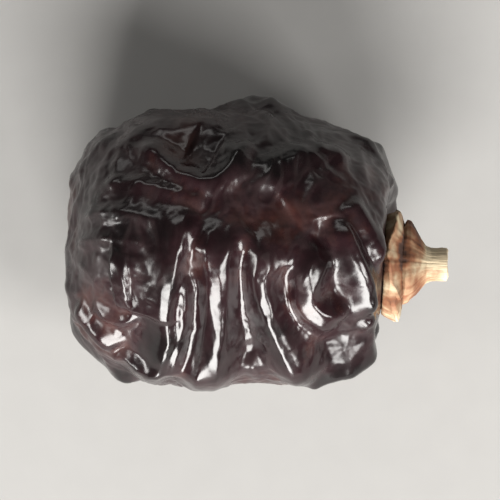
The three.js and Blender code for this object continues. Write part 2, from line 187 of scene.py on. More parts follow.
def newMaterial(name):
    material = bpy.data.materials.new(name)
    material.use_nodes = True
    tree = material.node_tree
    return material, tree, tree.nodes["Principled BSDF"]


def dressShader(tree, shader, colour, rough, relief, bumpRule):
    strength, depth = bumpRule
    inputs = {"Strength": strength, "Distance": depth, "Height": relief}
    bump = addNode(tree, "ShaderNodeBump", inputs=inputs)
    tree.links.new(colour, shader.inputs["Base Color"])
    tree.links.new(rough, shader.inputs["Roughness"])
    tree.links.new(bump.outputs[0], shader.inputs["Normal"])


def linearColour(red, green, blue):
    return tuple(((value / 255 + 0.055) / 1.055) ** 2.4 for value in (red, green, blue))


# The fruit's plump form, before its skin wrinkled: a blunt superellipsoid with broad sunken faces.
fruitForm = {
    "length": 24.1,                   # millimetres, as in the solids
    "width": 20.3,
    "height": 19.6,
    "pressedFlat": 0.2,
    "lengthPower": 3.0,
    "crossPower": 2.25,
    "facePower": 26,
    "sunkenFaces": [                  # the way each face looks, and how far it is in
        ((0.02, -0.5, 0.866), 1.2),
        ((0.5, -0.55, 0.67), 0.9),
        ((-0.62, -0.5, 0.6), 0.55),
        ((-0.25, 0.55, 0.8), 0.4),
        ((0.3, 0.8, 0.52), 0.45),
        ((0.15, 0.8, -0.58), 0.6),
        ((-0.3, -0.78, -0.55), 0.6),
        ((-0.86, 0.25, 0.44), 0.4),
        ((-0.7, 0.1, -0.7), 0.5),
    ],
    "gridSteps": 126,                 # squares along each edge of the cube that the mesh starts from
}
halfSizes = np.array([fruitForm["length"], fruitForm["width"], fruitForm["height"]]) / 2
middleHeight = halfSizes[2] - fruitForm["pressedFlat"]
lengthPower, crossPower = fruitForm["lengthPower"], fruitForm["crossPower"]


def unit(vectors):
    return vectors / np.linalg.norm(vectors, axis=-1, keepdims=True)


def smooth(low, high, value):
    share = np.clip((value - low) / (high - low), 0, 1)
    return share * share * (3 - 2 * share)


def plainShare(points):               # how far out a point is: 1 on the plain form's surface
    x, y, z = np.moveaxis(np.abs(points) / halfSizes, -1, 0)
    across = y ** crossPower + z ** crossPower
    return (x ** lengthPower + across ** (lengthPower / crossPower)) ** (1 / lengthPower)


def sunkenPlanes():
    along = lengthPower / (lengthPower - 1)
    across = crossPower / (crossPower - 1)
    planes = []
    for normal, depth in fruitForm["sunkenFaces"]:
        facing = unit(np.array(normal))
        reach = np.abs(facing * halfSizes)
        side = reach[1] ** across + reach[2] ** across
        touching = (reach[0] ** along + side ** (along / across)) ** (1 / along)
        planes.append((facing, touching - depth))
    return planes


facePlanes = sunkenPlanes()


def plumpShare(points):
    power = fruitForm["facePower"]
    total = plainShare(points) ** power
    for facing, distance in facePlanes:
        total = total + (np.maximum(0, points @ facing) / distance) ** power
    return total ** (1 / power)


def plumpPoints(directions):
    return directions / plumpShare(directions)[..., None]


def plumpNormals(points):
    power = fruitForm["facePower"]
    shares = np.abs(points) / halfSizes
    across = shares[:, 1] ** crossPower + shares[:, 2] ** crossPower
    turn = across ** (lengthPower / crossPower - 1)
    normals = np.sign(points) / halfSizes
    normals[:, 0] *= shares[:, 0] ** (lengthPower - 1)
    normals[:, 1] *= turn * shares[:, 1] ** (crossPower - 1)
    normals[:, 2] *= turn * shares[:, 2] ** (crossPower - 1)
    normals *= plainShare(points)[:, None] ** (power - lengthPower)
    for facing, distance in facePlanes:
        share = np.maximum(0, points @ facing) / distance
        normals += (share ** (power - 1) / distance)[:, None] * facing
    return unit(normals)


# The folds that show from above, as paths of [x, y] in millimetres over the plump form. A y past the
# edge wraps under it. Each has its height, the reach of its left and right flanks, and its crest: half
# of its flat top's width, and the radius that it is rounded to.
seenFolds = [
    # pleats that fan out over the belly
    ([(-2.1, 2.9), (-3.4, 1.2), (-4.2, -1.0), (-4.8, -4.5), (-5.0, -7.6), (-5.1, -10.3)],
     1.1, (1.4, 2.6), (0.2, 0.25)),
    ([(-3.2, -1.4), (-3.3, -4.6), (-3.7, -7.4), (-4.5, -9.6)], 0.7, (1.9, 1.2), (0.05, 0.2)),
    ([(-0.4, 2.6), (-0.8, -0.4), (-0.8, -3.5), (-1.1, -6.3), (-1.6, -8.8), (-1.9, -10.5)],
     1.25, (2.3, 1.7), (0.65, 0.2)),
    ([(3.2, 2.4), (2.6, -0.4), (2.3, -2.6), (3.3, -5.2), (4.4, -7.6), (5.2, -9.3), (5.5, -10.3)],
     1.2, (2.6, 1.9), (0.25, 0.25)),
    ([(7.6, 0.2), (6.3, -1.8), (5.5, -3.6), (6.5, -4.9), (8.6, -5.4)], 0.9, (1.6, 1.8), (0.45, 0.25)),
    ([(8.1, 2.4), (8.7, 0.2), (9.8, -2.6), (10.8, -4.8), (11.3, -6.2)], 1.1, (1.2, 1.6), (0.15, 0.2)),
    ([(8.8, 3.6), (10.0, 1.4), (11.2, -0.8)], 0.6, (1.5, 1.5), (0.2, 0.3)),
    ([(4.9, -9.9), (6.9, -9.3), (9.0, -8.3), (10.6, -6.9), (11.5, -5.2)], 1.2, (2.0, 2.0), (0.1, 0.2)),
    # the stylar end: a low dome with a rim below it, and a corner fold
    ([(-8.7, -1.9), (-7.3, -2.0)], 0.6, (3.6, 3.6), (0.0, 1.6)),
    ([(-10.4, -4.2), (-8.6, -5.4), (-6.8, -5.3), (-5.6, -4.0)], 0.45, (1.3, 1.1), (0.0, 0.2)),
    ([(-12.0, 1.2), (-12.0, -1.2), (-11.8, -3.2), (-11.4, -4.9), (-10.9, -6.0)],
     0.5, (2.0, 2.0), (0.2, 0.3)),
    ([(-11.4, -4.0), (-10.4, -5.5), (-9.3, -6.5), (-8.2, -7.8)], 0.9, (1.6, 1.5), (0.15, 0.25)),
    ([(-11.4, 0.3), (-8.4, 0.6), (-5.8, 0.2)], 0.3, (1.0, 1.0), (0.0, 0.2)),
    ([(-11.2, 2.2), (-8.6, 2.6), (-6.4, 2.3), (-4.6, 1.5)], 0.45, (1.1, 1.1), (0.0, 0.2)),
    ([(-9.8, 4.3), (-6.8, 4.6), (-3.6, 3.8), (-1.2, 3.2)], 0.5, (1.4, 1.3), (0.0, 0.25)),
    # the far side: a long swag, an arc round its left, and softer folds towards the stem
    ([(-7.0, 8.4), (-5.8, 7.1), (-4.6, 5.9), (-3.0, 4.9), (-1.2, 4.7), (0.1, 5.6), (1.0, 7.0),
      (2.4, 8.0)], 0.85, (2.0, 1.5), (0.0, 0.25)),
    ([(-8.4, 6.8), (-7.0, 8.0), (-5.2, 8.8), (-3.2, 9.0), (-1.4, 8.5), (-0.9, 7.2)],
     0.5, (1.8, 1.8), (0.0, 0.7)),
    ([(1.7, 4.8), (3.4, 6.2), (5.6, 6.9), (7.6, 7.1), (9.4, 6.0)], 0.6, (1.8, 1.8), (0.1, 0.4)),
    ([(-11.2, 5.4), (-10.0, 7.0), (-8.0, 8.4)], 0.45, (1.5, 1.5), (0.0, 0.3)),
]
seenHollows = [                       # sunken ground between those folds, written in the same way
    ([(0.7, 0.8), (0.8, -4.0), (1.2, -6.8), (1.4, -9.0)], -0.8, (2.3, 2.3), (0.0, 0.08)),
    ([(-2.3, 0.0), (-2.1, -5.0), (-2.8, -9.0)], -0.6, (1.4, 1.4), (0.0, 0.25)),
    ([(4.6, -1.2), (4.4, -4.0), (6.0, -7.0), (8.2, -7.0), (9.4, -5.6)], -0.6, (1.7, 1.7), (0.0, 0.25)),
    ([(7.0, 2.4), (7.4, 0.0), (7.8, -2.2), (8.6, -4.4)], -0.65, (1.7, 1.7), (0.0, 0.3)),
    ([(-6.3, -4.6), (-6.6, -6.6), (-6.8, -8.6)], -0.8, (2.4, 2.4), (0.0, 0.6)),
    ([(-3.0, 7.4), (-0.8, 6.8)], -0.5, (2.6, 2.6), (0.0, 0.8)),
    ([(1.2, 1.2), (4.4, 3.4)], -0.4, (3.2, 3.2), (0.0, 1.0)),
]
skinRules = {
    "hollowing": 1.5,                 # how hollow a flank is: 1 is straight
    "blendPower": 4,                  # how crossing folds merge
    "foldEnd": 0.2,                   # the share of a fold's length over which each end rises
    "flankTurn": 0.5,                 # millimetres to either side in which one flank passes to the other
    "lumpHeight": 0.35, "lumpLength": 17, "lumpSeed": 5,
    "minorUnderFolds": 0.7,           # how far the big folds flatten the small ones
    "bigFold": (0.2, 0.9),            # from and to which height, in millimetres, a fold counts as big
    "streaksTurn": (0.45, 0.9),       # how far along the fruit its streaks turn to run out to its ends
    "mainFolds": {"seed": 4021, "count": 58, "steps": 5, "stride": 0.15, "height": 1.0, "foot": 1.6,
                  "footSpread": 1.8, "crest": 0.2, "crestSpread": 0.3, "quietAbove": 0.8},
    "minorFolds": {"seed": 733, "count": 190, "steps": 4, "stride": 0.085, "height": 0.15, "foot": 0.5,
                   "footSpread": 0.6, "crest": 0.08, "crestSpread": 0.12, "quietAbove": 0.1},
}
netRules = {
    "seed": 977, "cells": 105, "jitter": 0.85,
    "stretch": 1.35,                  # how much shorter a cell is along the fruit than across it
    "bendSeeds": (11, 12, 13), "bend": 1.3, "bendLength": 6.5,
    "patchSeed": 14, "patchLength": 15,
    "shallowest": 0.45,               # the net's share of its full height where it is weakest
    "quietAbove": 0.6,
    "height": 0.5, "foot": 1.5, "crest": (0.0, 0.25), "sunk": 0.4,
}
facingUp = (-0.35, 0.2)               # upward share of a direction: hidden at first, in view at last
towardsTip = (0.55, 0.95)             # how far along the fruit the folds turn to run out to its ends
wanderRules = {                       # how the seeded folds vary, and how they run
    "jitter": 0.9,
    "smallest": 0.6, "sizeSpread": 0.8,
    "headingSpread": 1.5, "bend": 0.9,  # radians
    "fullHeight": 0.95,
}
restSpot = {"bare": 1.2, "folded": 5.5, "stretch": 1.4}  # two radii, and how much longer than wide it is
calyxPlace = {"drop": 1.3, "diameter": 9.4, "gap": 0.08}
calyxSeat = {
    "dishDepth": 0.5, "dishRadius": 4.2,
    "margin": 0.3, "looseOver": 1.4,  # where the folds start outside the calyx, and what they take to rise
    "puckers": 13, "puckerHeight": 0.16, "puckerSeed": 6, "puckerLength": 7, "puckerBend": 3,
    "puckersRise": (-0.2, 1.2),       # beside the calyx's edge
    "puckersFade": (5.6, 7.6),        # radii from its axis
    "shoulderHeight": 0.35, "shoulderRadius": 6.4, "shoulderWidth": 1.1,
}


def randomStream(seed):               # the solids' own stream, so that the same folds come out of it
    multiplier, modulus = 48271, 2147483647
    state = seed
    while True:
        state = state * multiplier % modulus
        yield state / modulus


def makeWaves(seed, wavelength, count=5):
    stream = randomStream(seed)
    waves = []
    for _ in range(count):
        up = 2 * next(stream) - 1
        turn = 2 * math.pi * next(stream)
        flat = math.sqrt(1 - up * up)
        axis = np.array([flat * math.cos(turn), flat * math.sin(turn), up]) * 2 * math.pi / wavelength
        waves.append((axis, 2 * math.pi * next(stream)))
    return lambda points: sum(np.sin(points @ axis + phase) for axis, phase in waves) / count


def liftedPoint(x, y):                # the plump form's point at [x, y] from above, found by halving
    edge = halfSizes[1] * (1 - abs(x / halfSizes[0]) ** lengthPower) ** (1 / lengthPower)
    under = abs(y) > edge
    side = math.copysign(2 * edge - abs(y), y) if under else y
    low, high = 0.0, halfSizes[2]
    for _ in range(30):
        middle = (low + high) / 2
        outside = plumpShare(np.array([x, side, -middle if under else middle])) > 1
        low, high = (low, middle) if outside else (middle, high)
    return np.array([x, side, -low if under else low])


def surfaceLine(points, stepsPerSpan=6):
    last = len(points) - 1
    line = []
    for i in range(last):
        a, b, c, d = (points[k] for k in (max(i - 1, 0), i, i + 1, min(i + 2, last)))
        for step in range(stepsPerSpan):
            t = step / stepsPerSpan
            point = ((-t + 2 * t ** 2 - t ** 3) * a + (2 - 5 * t ** 2 + 3 * t ** 3) * b
                     + (t + 4 * t ** 2 - 3 * t ** 3) * c + (t ** 3 - t ** 2) * d) / 2
            line.append(plumpPoints(unit(point)))
    line.append(points[last])
    return np.array(line)


def pointOn(line, place):
    start = np.clip(np.floor(place).astype(int), 0, len(line) - 2)
    share = np.clip(place - start, 0, 1)[:, None]
    return line[start] * (1 - share) + line[start + 1] * share


def nearestOn(line, points):
    distance = np.full(len(points), np.inf)
    place = np.zeros(len(points))
    for i, (start, end) in enumerate(zip(line, line[1:])):
        span = end - start
        offset = points - start
        share = np.clip(offset @ span / (span @ span), 0, 1)
        reach = np.linalg.norm(offset - share[:, None] * span, axis=1)
        closer = reach < distance
        distance[closer] = reach[closer]
        place[closer] = i + share[closer]
    return distance, place


def rightOf(line, place, points):
    run = unit(pointOn(line, place + 1) - pointOn(line, place - 1))
    offset = points - pointOn(line, place)
    aside = np.einsum("ij,ij->i", unit(points), np.cross(offset, run))
    return smooth(-skinRules["flankTurn"], skinRules["flankTurn"], aside)


def flank(distance, foot, crest):     # a ridge's cross-section, 1 at its crest and 0 at its foot
    flat, radius = crest
    share = (np.hypot(np.maximum(0, distance - flat), radius) - radius) / foot
    return np.maximum(0, 1 - share) ** skinRules["hollowing"]


def foldRise(fold, points):
    line, height, feet, crest = fold
    reach = max(feet) + crest[0] + 2 * crest[1] + 0.5  # a little past its foot
    near = np.all((points > line.min(0) - reach) & (points < line.max(0) + reach), axis=1)
    distance, place = nearestOn(line, points[near])
    along = place / (len(line) - 1)
    ends = smooth(0, skinRules["foldEnd"], along) * smooth(0, skinRules["foldEnd"], 1 - along)
    foot = feet[0] + rightOf(line, place, points[near]) * (feet[1] - feet[0])
    rise = np.zeros(len(points))
    rise[near] = height * ends * flank(distance, foot, crest)
    return rise


def fromAbove(fold):
    path, height, feet, crest = fold
    return surfaceLine([liftedPoint(x, y) for x, y in path]), height, feet, crest


def spreadDirections(count, jitter, stream):  # evenly over a ball, each one then moved a little
    directions = []
    for i in range(count):
        along = 1 - (2 * i + 1) / count
        flat = math.sqrt(1 - along * along)
        turn = i * math.pi * (3 - math.sqrt(5))
        direction = np.array([along, flat * math.cos(turn), flat * math.sin(turn)])
        reach = jitter * math.sqrt(4 * math.pi / count)
        moved = [reach * (next(stream) - 0.5) for _ in range(3)]
        directions.append(unit(direction + moved))
    return directions


def wanderingFolds(rule):
    stream = randomStream(rule["seed"])
    folds = []
    for start in spreadDirections(rule["count"], wanderRules["jitter"], stream):
        direction = start
        size = wanderRules["smallest"] + wanderRules["sizeSpread"] * next(stream)
        towardsEnd = smooth(*towardsTip, abs(start[0]))
        heading = (next(stream) - 0.5) * wanderRules["headingSpread"] + towardsEnd * math.pi / 2
        points = []
        for _ in range(rule["steps"] + 1):
            points.append(plumpPoints(direction))
            around = unit(np.cross([1.0, 0, 0], direction))
            along = np.cross(direction, around)
            heading += (next(stream) - 0.5) * wanderRules["bend"]
            stride = rule["stride"] * size
            direction = direction + around * stride * math.cos(heading)
            direction = unit(direction + along * stride * math.sin(heading))
        seen = smooth(*facingUp, start[2])
        feet = tuple(rule["foot"] + rule["footSpread"] * next(stream) for _ in range(2))
        height = rule["height"] * size * (wanderRules["fullHeight"] - rule["quietAbove"] * seen)
        crest = (0.0, rule["crest"] + rule["crestSpread"] * next(stream))
        folds.append((surfaceLine(points), height, feet, crest))
    return folds


def makeNet():
    spread = spreadDirections(netRules["cells"], netRules["jitter"], randomStream(netRules["seed"]))
    centres = np.array([plumpPoints(direction) for direction in spread])
    warps = [makeWaves(seed, netRules["bendLength"]) for seed in netRules["bendSeeds"]]
    patches = makeWaves(netRules["patchSeed"], netRules["patchLength"])
    stretched = np.array([netRules["stretch"], 1, 1])
    shallowest = netRules["shallowest"]

    def net(points):
        bends = np.stack([warp(points) for warp in warps], axis=1)
        moved = (points + netRules["bend"] * bends) * stretched
        first = np.full(len(points), np.inf)
        second = np.full(len(points), np.inf)
        for centre in centres * stretched:
            distance = np.linalg.norm(moved - centre, axis=1)
            second = np.minimum(second, np.maximum(first, distance))
            first = np.minimum(first, distance)
        depth = shallowest + (1 - shallowest) * smooth(-0.4, 0.4, patches(points))
        depth *= 1 - netRules["quietAbove"] * smooth(*facingUp, unit(points)[:, 2])
        ridge = flank((second - first) / 2, netRules["foot"], netRules["crest"])
        return netRules["height"] * depth * (ridge - netRules["sunk"])

    return net


def fromCalyxAxis(points):
    radius = np.hypot(points[:, 1] + calyxPlace["drop"], points[:, 2])
    return np.where(points[:, 0] > 0, radius, np.inf)


def dishDepth(radius):
    return calyxSeat["dishDepth"] * np.exp(-(radius / calyxSeat["dishRadius"]) ** 2)


def seatHeight(y, z):                 # the smooth seat under the calyx
    across = np.abs(y / halfSizes[1]) ** crossPower + np.abs(z / halfSizes[2]) ** crossPower
    plump = halfSizes[0] * (1 - across ** (lengthPower / crossPower)) ** (1 / lengthPower)
    return plump - dishDepth(np.hypot(y + calyxPlace["drop"], z))


def gridSquares(index):               # the four corners of each square in a grid of point numbers
    corners = [index[:-1, :-1], index[1:, :-1], index[1:, 1:], index[:-1, 1:]]
    return np.stack(corners, axis=-1).reshape(-1, 4)


def cubeSphere(steps):                # a ball of even squares, with no pole and no seam
    ticks = np.tan(np.linspace(-1, 1, steps + 1) * math.pi / 4)
    u, v = np.meshgrid(ticks, ticks, indexing="ij")
    one = np.ones_like(u)
    sides = [(one, u, v), (-one, v, u), (v, one, u), (u, -one, v), (u, v, one), (v, u, -one)]
    corners, squares = [], []
    for k, side in enumerate(sides):
        corners.append(unit(np.stack(side, axis=-1).reshape(-1, 3)))
        index = np.arange((steps + 1) ** 2).reshape(steps + 1, steps + 1) + k * (steps + 1) ** 2
        squares.append(gridSquares(index))
    corners = np.concatenate(corners)
    _, kept, merged = np.unique(np.round(corners, 6), axis=0, return_index=True, return_inverse=True)
    return corners[kept], merged.reshape(-1)[np.concatenate(squares)]


def makeMesh(name, points, faces, attributes=None):
    mesh = bpy.data.meshes.new(name)
    mesh.from_pydata((points * 0.001).tolist(), [], faces)
    mesh.polygons.foreach_set("use_smooth", np.ones(len(mesh.polygons), dtype=bool))
    for key, values in (attributes or {}).items():
        layer = mesh.attributes.new(key, "FLOAT", "POINT")
        layer.data.foreach_set("value", np.asarray(values, dtype=np.float32))
    mesh.validate()
    piece = bpy.data.objects.new(name, mesh)
    bpy.context.scene.collection.objects.link(piece)
    return piece


insideBox = {"margin": 0.05, "kept": 0.9}  # millimetres to the box's sides, and the share that stays put


def drawnIn(points, box):             # what would stand outside the solid's box is pressed in, softly
    low, high = np.array(box) * 1000
    middle = (low + high) / 2
    half = (high - low) / 2 - insideBox["margin"]
    offset = points - middle
    reach = np.abs(offset)
    outermost = np.maximum(reach.max(0), half)
    kept = insideBox["kept"] * half
    pushed = kept + (reach - kept) * (half - kept) / (outermost - kept)
    return middle + np.sign(offset) * np.where(reach > kept, pushed, reach)


def bigFolds(plump):
    power = skinRules["blendPower"]
    folded = np.zeros(len(plump))
    folds = [fromAbove(fold) for fold in seenFolds] + wanderingFolds(skinRules["mainFolds"])
    for fold in folds:
        folded += foldRise(fold, plump) ** power
    print("  main folds laid:", len(folds))
    return folded ** (1 / power)


def smallFolds(plump, folded):
    minor = np.zeros(len(plump))
    for fold in wanderingFolds(skinRules["minorFolds"]):
        minor = np.maximum(minor, foldRise(fold, plump))
    return minor * (1 - skinRules["minorUnderFolds"] * smooth(*skinRules["bigFold"], folded))


def looseShare(plump, radius):        # 0 where the skin is held flat, on the rest spot and round the calyx
    seatRadius = calyxPlace["diameter"] / 2 + calyxSeat["margin"]
    fromSpot = np.hypot(plump[:, 0] / restSpot["stretch"], plump[:, 1])
    lain = smooth(restSpot["bare"], restSpot["folded"], fromSpot)
    lain = np.where(plump[:, 2] < 0, lain, 1)
    return smooth(seatRadius, seatRadius + calyxSeat["looseOver"], radius) * lain


def calyxSurround(plump, radius):     # the small puckers round the calyx, and the shoulder outside them
    turn = np.arctan2(plump[:, 2], plump[:, 1] + calyxPlace["drop"])
    edge = calyxPlace["diameter"] / 2
    start, full = (edge + step for step in calyxSeat["puckersRise"])
    band = smooth(start, full, radius) * (1 - smooth(*calyxSeat["puckersFade"], radius))
    bend = calyxSeat["puckerBend"] * makeWaves(calyxSeat["puckerSeed"], calyxSeat["puckerLength"])(plump)
    puckers = calyxSeat["puckerHeight"] * band * np.cos(calyxSeat["puckers"] * turn + bend)
    aside = (radius - calyxSeat["shoulderRadius"]) / calyxSeat["shoulderWidth"]
    return puckers + calyxSeat["shoulderHeight"] * np.exp(-aside ** 2)


def makeFruit():
    directions, squares = cubeSphere(fruitForm["gridSteps"])
    plump = plumpPoints(directions)
    radius = fromCalyxAxis(plump)
    loose = looseShare(plump, radius)
    folded = bigFolds(plump)
    sunken = sum(foldRise(fromAbove(hollow), plump) for hollow in seenHollows)
    minor = smallFolds(plump, folded)
    lumps = skinRules["lumpHeight"] * makeWaves(skinRules["lumpSeed"], skinRules["lumpLength"])(plump)
    rise = loose * (folded + sunken + makeNet()(plump) + lumps + minor) + calyxSurround(plump, radius)

    skin = plump + plumpNormals(plump) * rise[:, None]
    skin[:, 0] -= np.where(plump[:, 0] > 0, dishDepth(radius), 0)
    skin[:, 2] = np.maximum(0, skin[:, 2] + middleHeight)
    skin = drawnIn(skin, fruitBox)
    skin[:, 2] -= skin[:, 2].min()
    towardsEnd = smooth(*skinRules["streaksTurn"], np.abs(directions[:, 0]))
    marks = {"fold": folded + minor, "loose": loose, "towardsEnd": towardsEnd}
    return makeMesh("wrinkledFruit", skin, squares.tolist(), marks)


# Fine wrinkles over the folded skin: streaks that run with the pleats, a loose net, and crinkles.
fineSkin = {
    "Streak Spacing": 1.15, "Streak Height": 0.060,  # millimetres
    "Net Size": 1.7, "Net Height": 0.060,
    "Crinkle Size": 0.65, "Crinkle Height": 0.020,
    "Seed": 3.7,
}
fineRules = {
    "driftScale": 0.22, "driftReach": 5.0,  # slow bends in all of the wrinkles
    "stretch": 0.2,                   # the smaller, the longer a streak
    "streakSeeds": (1.3, 2.9), "streakWidth": 0.16, "streakPower": 1.5,
    "netShape": (1.25, 0.9, 0.9), "netWidth": 0.28,
    "crinkleDriftScale": 0.9, "crinkleDriftReach": 0.9, "crinkleWidth": 0.3,
    "patchScale": 0.16, "patchSeed": 8.1, "patchEdges": (0.38, 0.62),
    "weakStreaks": 0.45, "weakNet": 0.3,  # what is left of each in the other's patches
    "sunk": 0.08,                     # millimetres that the whole skin is set in by
    "onTautFolds": 0.45, "whereHeld": 0.65,  # the share of the fine wrinkles that stays there
}


def startTree(name, values, materialName):
    tree = bpy.data.node_groups.new(name, "GeometryNodeTree")
    tree.interface.new_socket("Geometry", in_out="INPUT", socket_type="NodeSocketGeometry")
    for key, value in values.items():
        made = tree.interface.new_socket(key, in_out="INPUT", socket_type="NodeSocketFloat")
        made.default_value = value
    tree.interface.new_socket(materialName, in_out="INPUT", socket_type="NodeSocketMaterial")
    tree.interface.new_socket("Geometry", in_out="OUTPUT", socket_type="NodeSocketGeometry")
    return tree, addNode(tree, "NodeGroupInput").outputs


def markAndRaise(tree, geometry, name, mark, height):  # keeps the mark, then lifts the surface
    normal = addNode(tree, "GeometryNodeInputNormal").outputs[0]
    offset = vectorMaths(tree, "SCALE", normal, times(tree, height, 0.001))
    stored = addNode(tree, "GeometryNodeStoreNamedAttribute", {"data_type": "FLOAT", "domain": "POINT"},
                     {"Geometry": geometry, "Name": name, "Value": mark}).outputs[0]
    inputs = {"Geometry": stored, "Offset": offset}
    return addNode(tree, "GeometryNodeSetPosition", inputs=inputs).outputs[0]


def endTree(tree, geometry, material):
    whole = addNode(tree, "GeometryNodeRealizeInstances", inputs={"Geometry": geometry}).outputs[0]
    inputs = {"Geometry": whole, "Material": material}
    dressed = addNode(tree, "GeometryNodeSetMaterial", inputs=inputs).outputs[0]
    addNode(tree, "NodeGroupOutput", inputs={0: dressed})
    return tree


def skinTree():
    tree, given = startTree("fine skin", fineSkin, "Skin")

    def named(name):
        inputs = {"Name": name}
        return addNode(tree, "GeometryNodeInputNamedAttribute", {"data_type": "FLOAT"}, inputs).outputs[0]

    def streak(vector, seed):
        density = maths(tree, "DIVIDE", 1.0, given["Streak Spacing"])
        wave = noise(tree, vector, density, 1.5, seed).outputs[0]
        off = maths(tree, "ABSOLUTE", minus(tree, wave, 0.5))
        ridge = between(tree, off, 0.0, fineRules["streakWidth"], 1.0, 0.0)
        return maths(tree, "POWER", ridge, fineRules["streakPower"])

    def cells(vector, size, width):
        inputs = {"Vector": vector, "Scale": maths(tree, "DIVIDE", 1.0, size)}
        settings = {"feature": "DISTANCE_TO_EDGE"}
        edge = addNode(tree, "ShaderNodeTexVoronoi", settings, inputs).outputs["Distance"]
        return between(tree, edge, 0.0, width, 1.0, 0.0)

    place = addNode(tree, "GeometryNodeInputPosition").outputs[0]
    millimetres = vectorMaths(tree, "SCALE", place, 1000.0)
    drift = noise(tree, millimetres, fineRules["driftScale"], 1.0, given["Seed"]).outputs["Color"]
    drift = vectorMaths(tree, "SUBTRACT", drift, (0.5, 0.5, 0.5))
    drift = vectorMaths(tree, "SCALE", drift, fineRules["driftReach"])
    moved = vectorMaths(tree, "ADD", millimetres, drift)

    # the streaks run round the fruit along its middle, and out towards each end
    drawnOut = fineRules["stretch"]
    aroundSeed, alongSeed = fineRules["streakSeeds"]
    aroundFruit = streak(vectorMaths(tree, "MULTIPLY", moved, (1.0, drawnOut, drawnOut)), aroundSeed)
    alongFruit = streak(vectorMaths(tree, "MULTIPLY", moved, (drawnOut, 1.0, 1.0)), alongSeed)
    towardsEnd = named("towardsEnd")
    streaks = plus(tree, times(tree, aroundFruit, minus(tree, 1.0, towardsEnd)),
                   times(tree, alongFruit, towardsEnd))

    netAt = vectorMaths(tree, "MULTIPLY", moved, fineRules["netShape"])
    net = cells(netAt, given["Net Size"], fineRules["netWidth"])
    drift = noise(tree, millimetres, fineRules["crinkleDriftScale"], 1.0, given["Seed"]).outputs["Color"]
    drift = vectorMaths(tree, "SCALE", drift, fineRules["crinkleDriftReach"])
    crinkleAt = vectorMaths(tree, "ADD", moved, drift)
    crinkles = cells(crinkleAt, given["Crinkle Size"], fineRules["crinkleWidth"])

    patch = noise(tree, millimetres, fineRules["patchScale"], 1.0, fineRules["patchSeed"]).outputs[0]
    patch = between(tree, patch, *fineRules["patchEdges"])
    streakShare = between(tree, patch, 0.0, 1.0, fineRules["weakStreaks"], 1.0)
    netShare = between(tree, patch, 0.0, 1.0, 1.0, fineRules["weakNet"])
    height = plus(tree, times(tree, streaks, given["Streak Height"], streakShare),
                  times(tree, net, given["Net Height"], netShare),
                  times(tree, crinkles, given["Crinkle Height"]))
    taut = between(tree, named("fold"), *skinRules["bigFold"], 1.0, fineRules["onTautFolds"])
    loose = between(tree, named("loose"), 0.0, 1.0, fineRules["whereHeld"], 1.0)
    height = times(tree, minus(tree, height, fineRules["sunk"]), times(tree, loose, taut))

    mark = plus(tree, times(tree, streaks, 0.5), times(tree, net, 0.5))
    raised = markAndRaise(tree, given["Geometry"], "wrinkle", mark, height)
    aboveFloor = vectorMaths(tree, "MAXIMUM", place, (-1, -1, 0))
    inputs = {"Geometry": raised, "Position": aboveFloor}
    settled = addNode(tree, "GeometryNodeSetPosition", inputs=inputs).outputs[0]
    return endTree(tree, settled, given["Skin"])


def applyTree(piece, tree, values):   # runs the tree once, and keeps what comes out as a plain mesh
    modifier = piece.modifiers.new("finish", "NODES")
    modifier.node_group = tree
    for item in tree.interface.items_tree:
        if item.item_type == "SOCKET" and item.in_out == "INPUT" and item.name in values:
            modifier[item.identifier] = values[item.name]
    bpy.context.view_layer.update()
    evaluated = piece.evaluated_get(bpy.context.evaluated_depsgraph_get())
    finished = bpy.data.meshes.new_from_object(evaluated)
    piece.modifiers.remove(modifier)
    piece.data = finished
    finished.name = piece.name


# Skin: near-black maroon with browner patches, glossy crests and a dull bloom in the dips.
skinFinish = {
    "darkest": linearColour(13, 8, 9),
    "maroon": linearColour(31, 16, 19),
    "brown": linearColour(61, 34, 29),
    "bloom": linearColour(73, 62, 62),
    "tones": (0.34, 0.5, 0.66),       # where the first three stand
    "broadNoise": (130, 2.5, 1.1), "broadShare": 0.75,  # scale, detail, seed and any roughness
    "mottleNoise": (900, 4.0, 2.2, 0.6), "mottleShare": 0.25,
    "darkFolds": 0.10,
    "bloomNoise": (260, 3.0, 5.0),
    "powder": 0.30,                   # how much bloom lies in patches, and how much painted sheen lies along the fine wrinkles' crests
    "paintedCrestSheen": 0.15,
    "gloss": (0.19, 0.36),
    "dullDips": 0.09,                 # how much rougher the skin is between the folds
    "poreNoise": (3800, 3.0, 7.0, 0.65), "poreShare": 0.35,
    "grainNoise": (1500, 2.0, 4.0),
    "bump": (0.18, 0.00005),          # strength, and depth in metres
    "refraction": 1.45, "mirrorLevel": 0.46,
}


